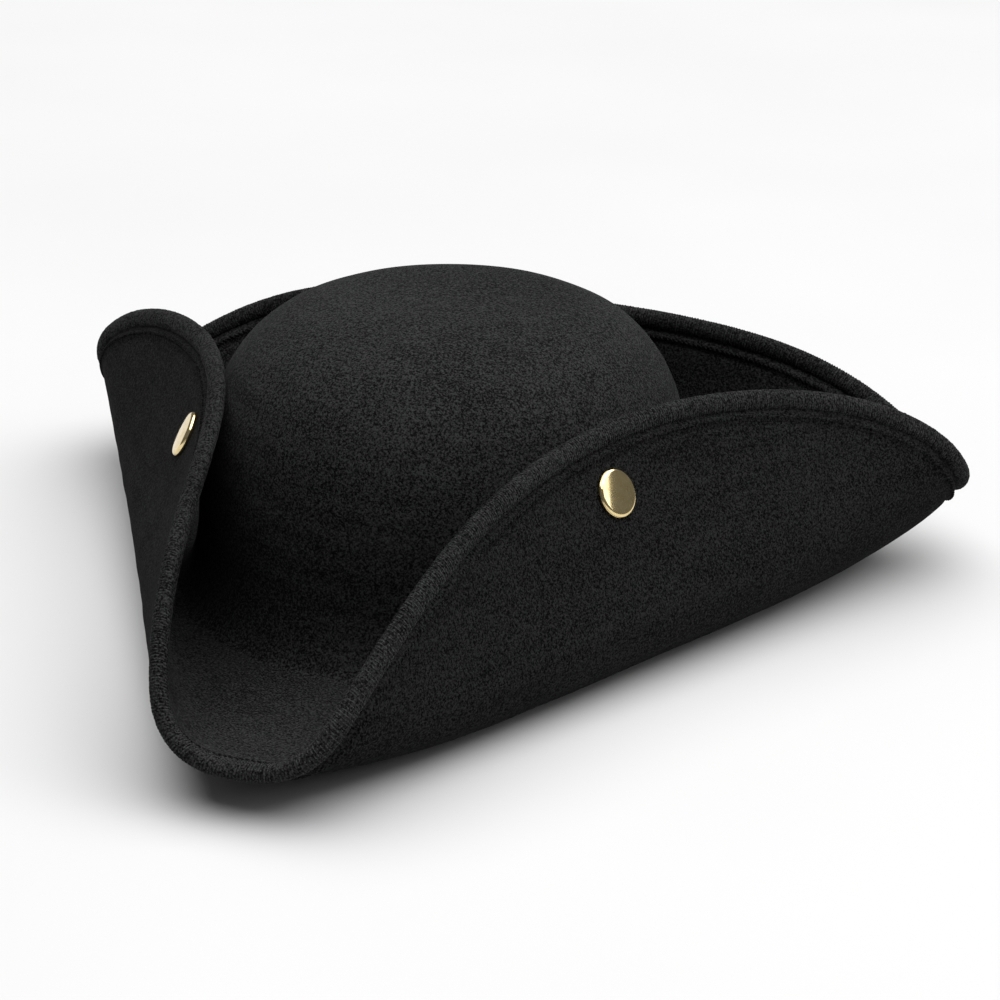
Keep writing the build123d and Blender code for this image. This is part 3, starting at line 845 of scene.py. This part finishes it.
# Half of a cap's section from the middle of its face: a low dome, the rounded shoulder, a fine crease,
# the wall, the rolled-in foot and the hollow behind. Pairs are radius and height over the flap's face.
face_radii = np.linspace(CAP_CENTRE, CAP_FACE_RADIUS, 24)
crowned = CAP_HEIGHT - CAP_CROWNING * (face_radii / CAP_FACE_RADIUS) ** CAP_CROWNING_POWER
CAP_SECTION = list(zip(face_radii, crowned))
CAP_SECTION += [(7.95, 2.14), (8.2, 2.06), (8.45, 1.93), (8.65, 1.77), (8.8, 1.58), (8.84, 1.50)]
CAP_SECTION += [(8.83, 1.44), (8.87, 1.38), (8.95, 1.30)]
CAP_SECTION += [(9.0, 1.18), (9.0, 0.9), (9.0, 0.6), (9.0, 0.3)]
CAP_SECTION += [(8.98, 0.2), (8.90, 0.06), (8.78, 0.0), (8.62, 0.03), (8.52, 0.14)]
CAP_SECTION += [(8.5, 0.4), (8.4, 0.95), (7.8, 1.35), (7.1, 1.68), (3.0, 1.95), (CAP_CENTRE, 2.1)]


def flap_frame(azimuth, station):
    """The middle of the flap there, the direction out of its under face and one along it."""
    at = math.radians(azimuth)
    normal = face_normal(np.array(at), np.array(station))
    outward = middle(at, station + SLOPE_STEP) - middle(at, station - SLOPE_STEP)
    return middle(at, station), -normal, unit(outward)


for name, azimuth, station in BUTTONS:
    origin, out_dir, run = flap_frame(azimuth, station)
    run = unit(run - out_dir * (run @ out_dir))
    cross = np.cross(out_dir, run)
    turn = np.linspace(0, 2 * np.pi, CAP_SEGMENTS, endpoint=False)
    rows = []
    for radius, height in CAP_SECTION:
        wobble = 1 + CAP_OUT_OF_ROUND * np.sin(3 * turn + azimuth) * (radius > CAP_EDGE_RADIUS)
        ring_points = origin + out_dir * (BRIM_FACE + height)
        ring_points = ring_points + run * (radius * wobble * np.cos(turn))[:, None]
        rows.append(ring_points + cross * (radius * wobble * np.sin(turn))[:, None])
    tip = len(rows) * CAP_SEGMENTS
    last = tip - CAP_SEGMENTS
    faces = grid_faces(len(rows), CAP_SEGMENTS)
    for j in range(CAP_SEGMENTS):
        k = (j + 1) % CAP_SEGMENTS
        faces.append([tip, j, k])
        faces.append([tip + 1, last + k, last + j])
    middles = [rows[0].mean(axis=0), rows[-1].mean(axis=0)]
    points = np.concatenate([*rows, middles])
    cap = add_piece(f"{name}_button", points, faces, button_brass, sharp=50)
    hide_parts(f"{name}_button_cap")

# ---- the tacks between the side flaps and the crown ------------------------------------------------
WALL_SEARCHES = 8
TACK_START = 0.6  # how far off the flap's inner face the thread begins
TACK_DEPTH = 4.0  # how far inside the middle of the crown's wall it ends
TACK_POINTS = 60
TACK_STRANDS = {"strands": 3, "lay": 3.4, "strand_radius": 0.42, "twist_radius": 0.40, "sides": 8}
KNOT_DEPTH = 4.15
KNOT_SIZE = 0.42
KNOT_THREAD = 0.42
KNOT_POINTS = 90


def crown_hit(start, direction):
    """Where a line from a flap meets the middle of the crown's wall, and the wall's outward normal."""
    point = start
    for _ in range(WALL_SEARCHES):
        at = math.atan2(point[0], -point[1])
        wall = oval_radius(at, CROWN_HALF_WIDTH, CROWN_HALF_LENGTH)
        height = (point[2] - REST_HEIGHT) / CROWN_HEIGHT
        reach = (1 - height**CROWN_SQUARENESS) ** (1 / CROWN_SQUARENESS)
        outward = np.array([math.sin(at), -math.cos(at), 0.0])
        point = point + direction * ((wall * reach - point @ outward) / (direction @ outward))
    slope = CROWN_SQUARENESS - 1
    normal = outward * (reach**slope / wall) + np.array([0, 0, height**slope / CROWN_HEIGHT])
    return point, unit(normal)


def knot_path(centre, normal):
    """A trefoil of thread, which lies against a wall with this normal."""
    across = unit(np.cross(normal, [0.0, 0.0, 1.0]))
    over = np.cross(normal, across)
    t = np.linspace(0, 2 * np.pi, KNOT_POINTS, endpoint=False)[:, None]
    loops = across * (np.sin(t) + 2 * np.sin(2 * t)) + over * (np.cos(t) - 2 * np.cos(2 * t))
    return centre + KNOT_SIZE * (loops - normal * (1.4 * np.sin(3 * t)))


for name, azimuth, station in BUTTONS[:2]:
    origin, out_dir, _ = flap_frame(azimuth, station)
    start = origin - out_dir * (BRIM_FACE + TACK_START)
    wall_point, wall_normal = crown_hit(start, -out_dir)
    end = wall_point - wall_normal * TACK_DEPTH
    path = start + (end - start) * np.linspace(0, 1, TACK_POINTS)[:, None]
    points, faces = twisted(path, **TACK_STRANDS)
    knot = knot_path(wall_point - wall_normal * KNOT_DEPTH, wall_normal)
    knot_points, knot_faces = tubes(knot[None], KNOT_THREAD, sides=8, closed=True)
    faces += [[v + len(points) for v in face] for face in knot_faces]
    tack = add_piece(f"{name}_tack", np.concatenate([points, knot_points]), faces, black_thread)
    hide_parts(f"{name}_tack_thread")

# ---- finishes for the CAD parts that stay ----------------------------------------------------------
shell_board = board("crown_stiffener", (0.016, 0.016, 0.017), (0.055, 0.054, 0.052))
steel = metal("brim_wire_steel", (0.30, 0.30, 0.31), (0.62, 0.62, 0.63), 0.35)
ferrule_metal = metal("ferrule_copper", (0.42, 0.20, 0.11), (0.80, 0.48, 0.32), 0.32)
post_metal = metal("post_nickel", (0.36, 0.34, 0.30), (0.66, 0.63, 0.56), 0.30)
washer_fibre = board("washer_fibre", (0.020, 0.019, 0.018), (0.070, 0.065, 0.060))
CAD_FINISHES = {
    "crown_shell": shell_board,
    "brim_board": shell_board,
    "brim_wire": steel,
    "wire_ferrule": ferrule_metal,
    "left_button_post": post_metal,
    "right_button_post": post_metal,
    "back_button_post": post_metal,
    "left_backing_washer": washer_fibre,
    "right_backing_washer": washer_fibre,
}
for node_name, material in CAD_FINISHES.items():
    data = nodes[node_name].data
    data.materials.clear()
    data.materials.append(material)

# ---- floor, light and camera -------------------------------------------------------------------------
FLOOR_HALF = 3.0
FLOOR_TONES = (0.56, 0.58)
FLOOR_DROP = 0.0004  # the floor is this far under the hat, so that no faces lie in one plane
floor_mesh = bpy.data.meshes.new("floor")
corners = [(x * FLOOR_HALF, y * FLOOR_HALF, 0) for x, y in ((-1, -1), (1, -1), (1, 1), (-1, 1))]
floor_mesh.from_pydata(corners, [], [[0, 1, 2, 3]])
floor = bpy.data.objects.new("floor", floor_mesh)
floor.location.z = -FLOOR_DROP
floor_finish = Finish("pale_floor", Roughness=0.7)
floor_finish.colour(floor_finish.noise(3.0), (0.3, grey(FLOOR_TONES[0])), (0.7, grey(FLOOR_TONES[1])))
floor_mesh.materials.append(floor_finish.material)
bpy.context.scene.collection.objects.link(floor)

SURROUND = 0.16  # the dim room round the lit table
OVERHEAD_POWER = 4.7
OVERHEAD_SPREAD = 90.0  # degrees that the big soft light over the table takes up
OVERHEAD_FROM = Vector((0.10, 0.12, 1.0))
CARD_POWER = 4.0  # a lit card off to the right, which shows as the highlight on the left button's edge
CARD_SIZE = (0.76, 0.80)
CARD_AZIMUTH = math.radians(95.75)
CARD_ELEVATION = math.radians(29.6)
CARD_ROLL = math.radians(142.6)
CARD_DISTANCE = 1.6  # from the left button


def direction(azimuth, elevation):
    """The direction to a place at this azimuth, from the front, and this elevation."""
    level = math.cos(elevation)
    return Vector((math.sin(azimuth) * level, -math.cos(azimuth) * level, math.sin(elevation)))


def facing(towards, roll=0.0):
    """The turn of a light or camera whose back is towards this direction, rolled about it."""
    return towards.to_track_quat("Z", "Y").to_matrix() @ Matrix.Rotation(roll, 3, "Z")


def place(name, data, location, turn):
    """Puts a light or the camera into the scene, with its turn as a matrix."""
    thing = bpy.data.objects.new(name, data)
    thing.location = location
    thing.rotation_mode = "QUATERNION"
    thing.rotation_quaternion = turn.to_quaternion()
    bpy.context.scene.collection.objects.link(thing)
    return thing


world = bpy.data.worlds.new("studio")
world.use_nodes = True
background = world.node_tree.nodes["Background"]
background.inputs["Color"].default_value = (1.0, 1.0, 1.0, 1.0)
background.inputs["Strength"].default_value = SURROUND
bpy.context.scene.world = world
bpy.context.scene.view_settings.view_transform = "Standard"

overhead_light = bpy.data.lights.new("overhead", "SUN")
overhead_light.energy = OVERHEAD_POWER
overhead_light.angle = math.radians(OVERHEAD_SPREAD)
place("overhead", overhead_light, (0.0, 0.0, 0.0), facing(OVERHEAD_FROM))

card_light = bpy.data.lights.new("card", "AREA")
card_light.shape = "RECTANGLE"
card_light.size, card_light.size_y = CARD_SIZE
card_light.energy = CARD_POWER
card_back = direction(CARD_AZIMUTH, CARD_ELEVATION)
button_low, button_high = (Vector(corner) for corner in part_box("left_button_cap"))
card_spot = (button_low + button_high) / 2 + card_back * CARD_DISTANCE
card = place("card", card_light, card_spot, facing(card_back, CARD_ROLL))
card.visible_camera = False

CAMERA_AZIMUTH = math.radians(17.41)
CAMERA_ELEVATION = math.radians(22.2)
CAMERA_ROLL = math.radians(1.7)
CAMERA_DISTANCE = 1.08
CAMERA_TARGET = Vector((0.0, 0.0, REST_HEIGHT * MM))
LENS = 99.1
SENSOR = 36.0
CLIP = (0.05, 20.0)
TARGET_IN_VIEW = (-0.0562, -0.0763)  # of the frame's width, right and up from its middle

camera_data = bpy.data.cameras.new("camera")
camera_data.lens = LENS
camera_data.sensor_width = SENSOR
camera_data.clip_start, camera_data.clip_end = CLIP
camera_back = direction(CAMERA_AZIMUTH, CAMERA_ELEVATION)
seen = Vector((TARGET_IN_VIEW[0] * SENSOR / LENS, TARGET_IN_VIEW[1] * SENSOR / LENS, -1.0)).normalized()
off_centre = seen.rotation_difference(Vector((0, 0, -1))).to_matrix()
camera_spot = CAMERA_TARGET + camera_back * CAMERA_DISTANCE
camera = place("camera", camera_data, camera_spot, facing(camera_back, CAMERA_ROLL) @ off_centre)
bpy.context.scene.camera = camera
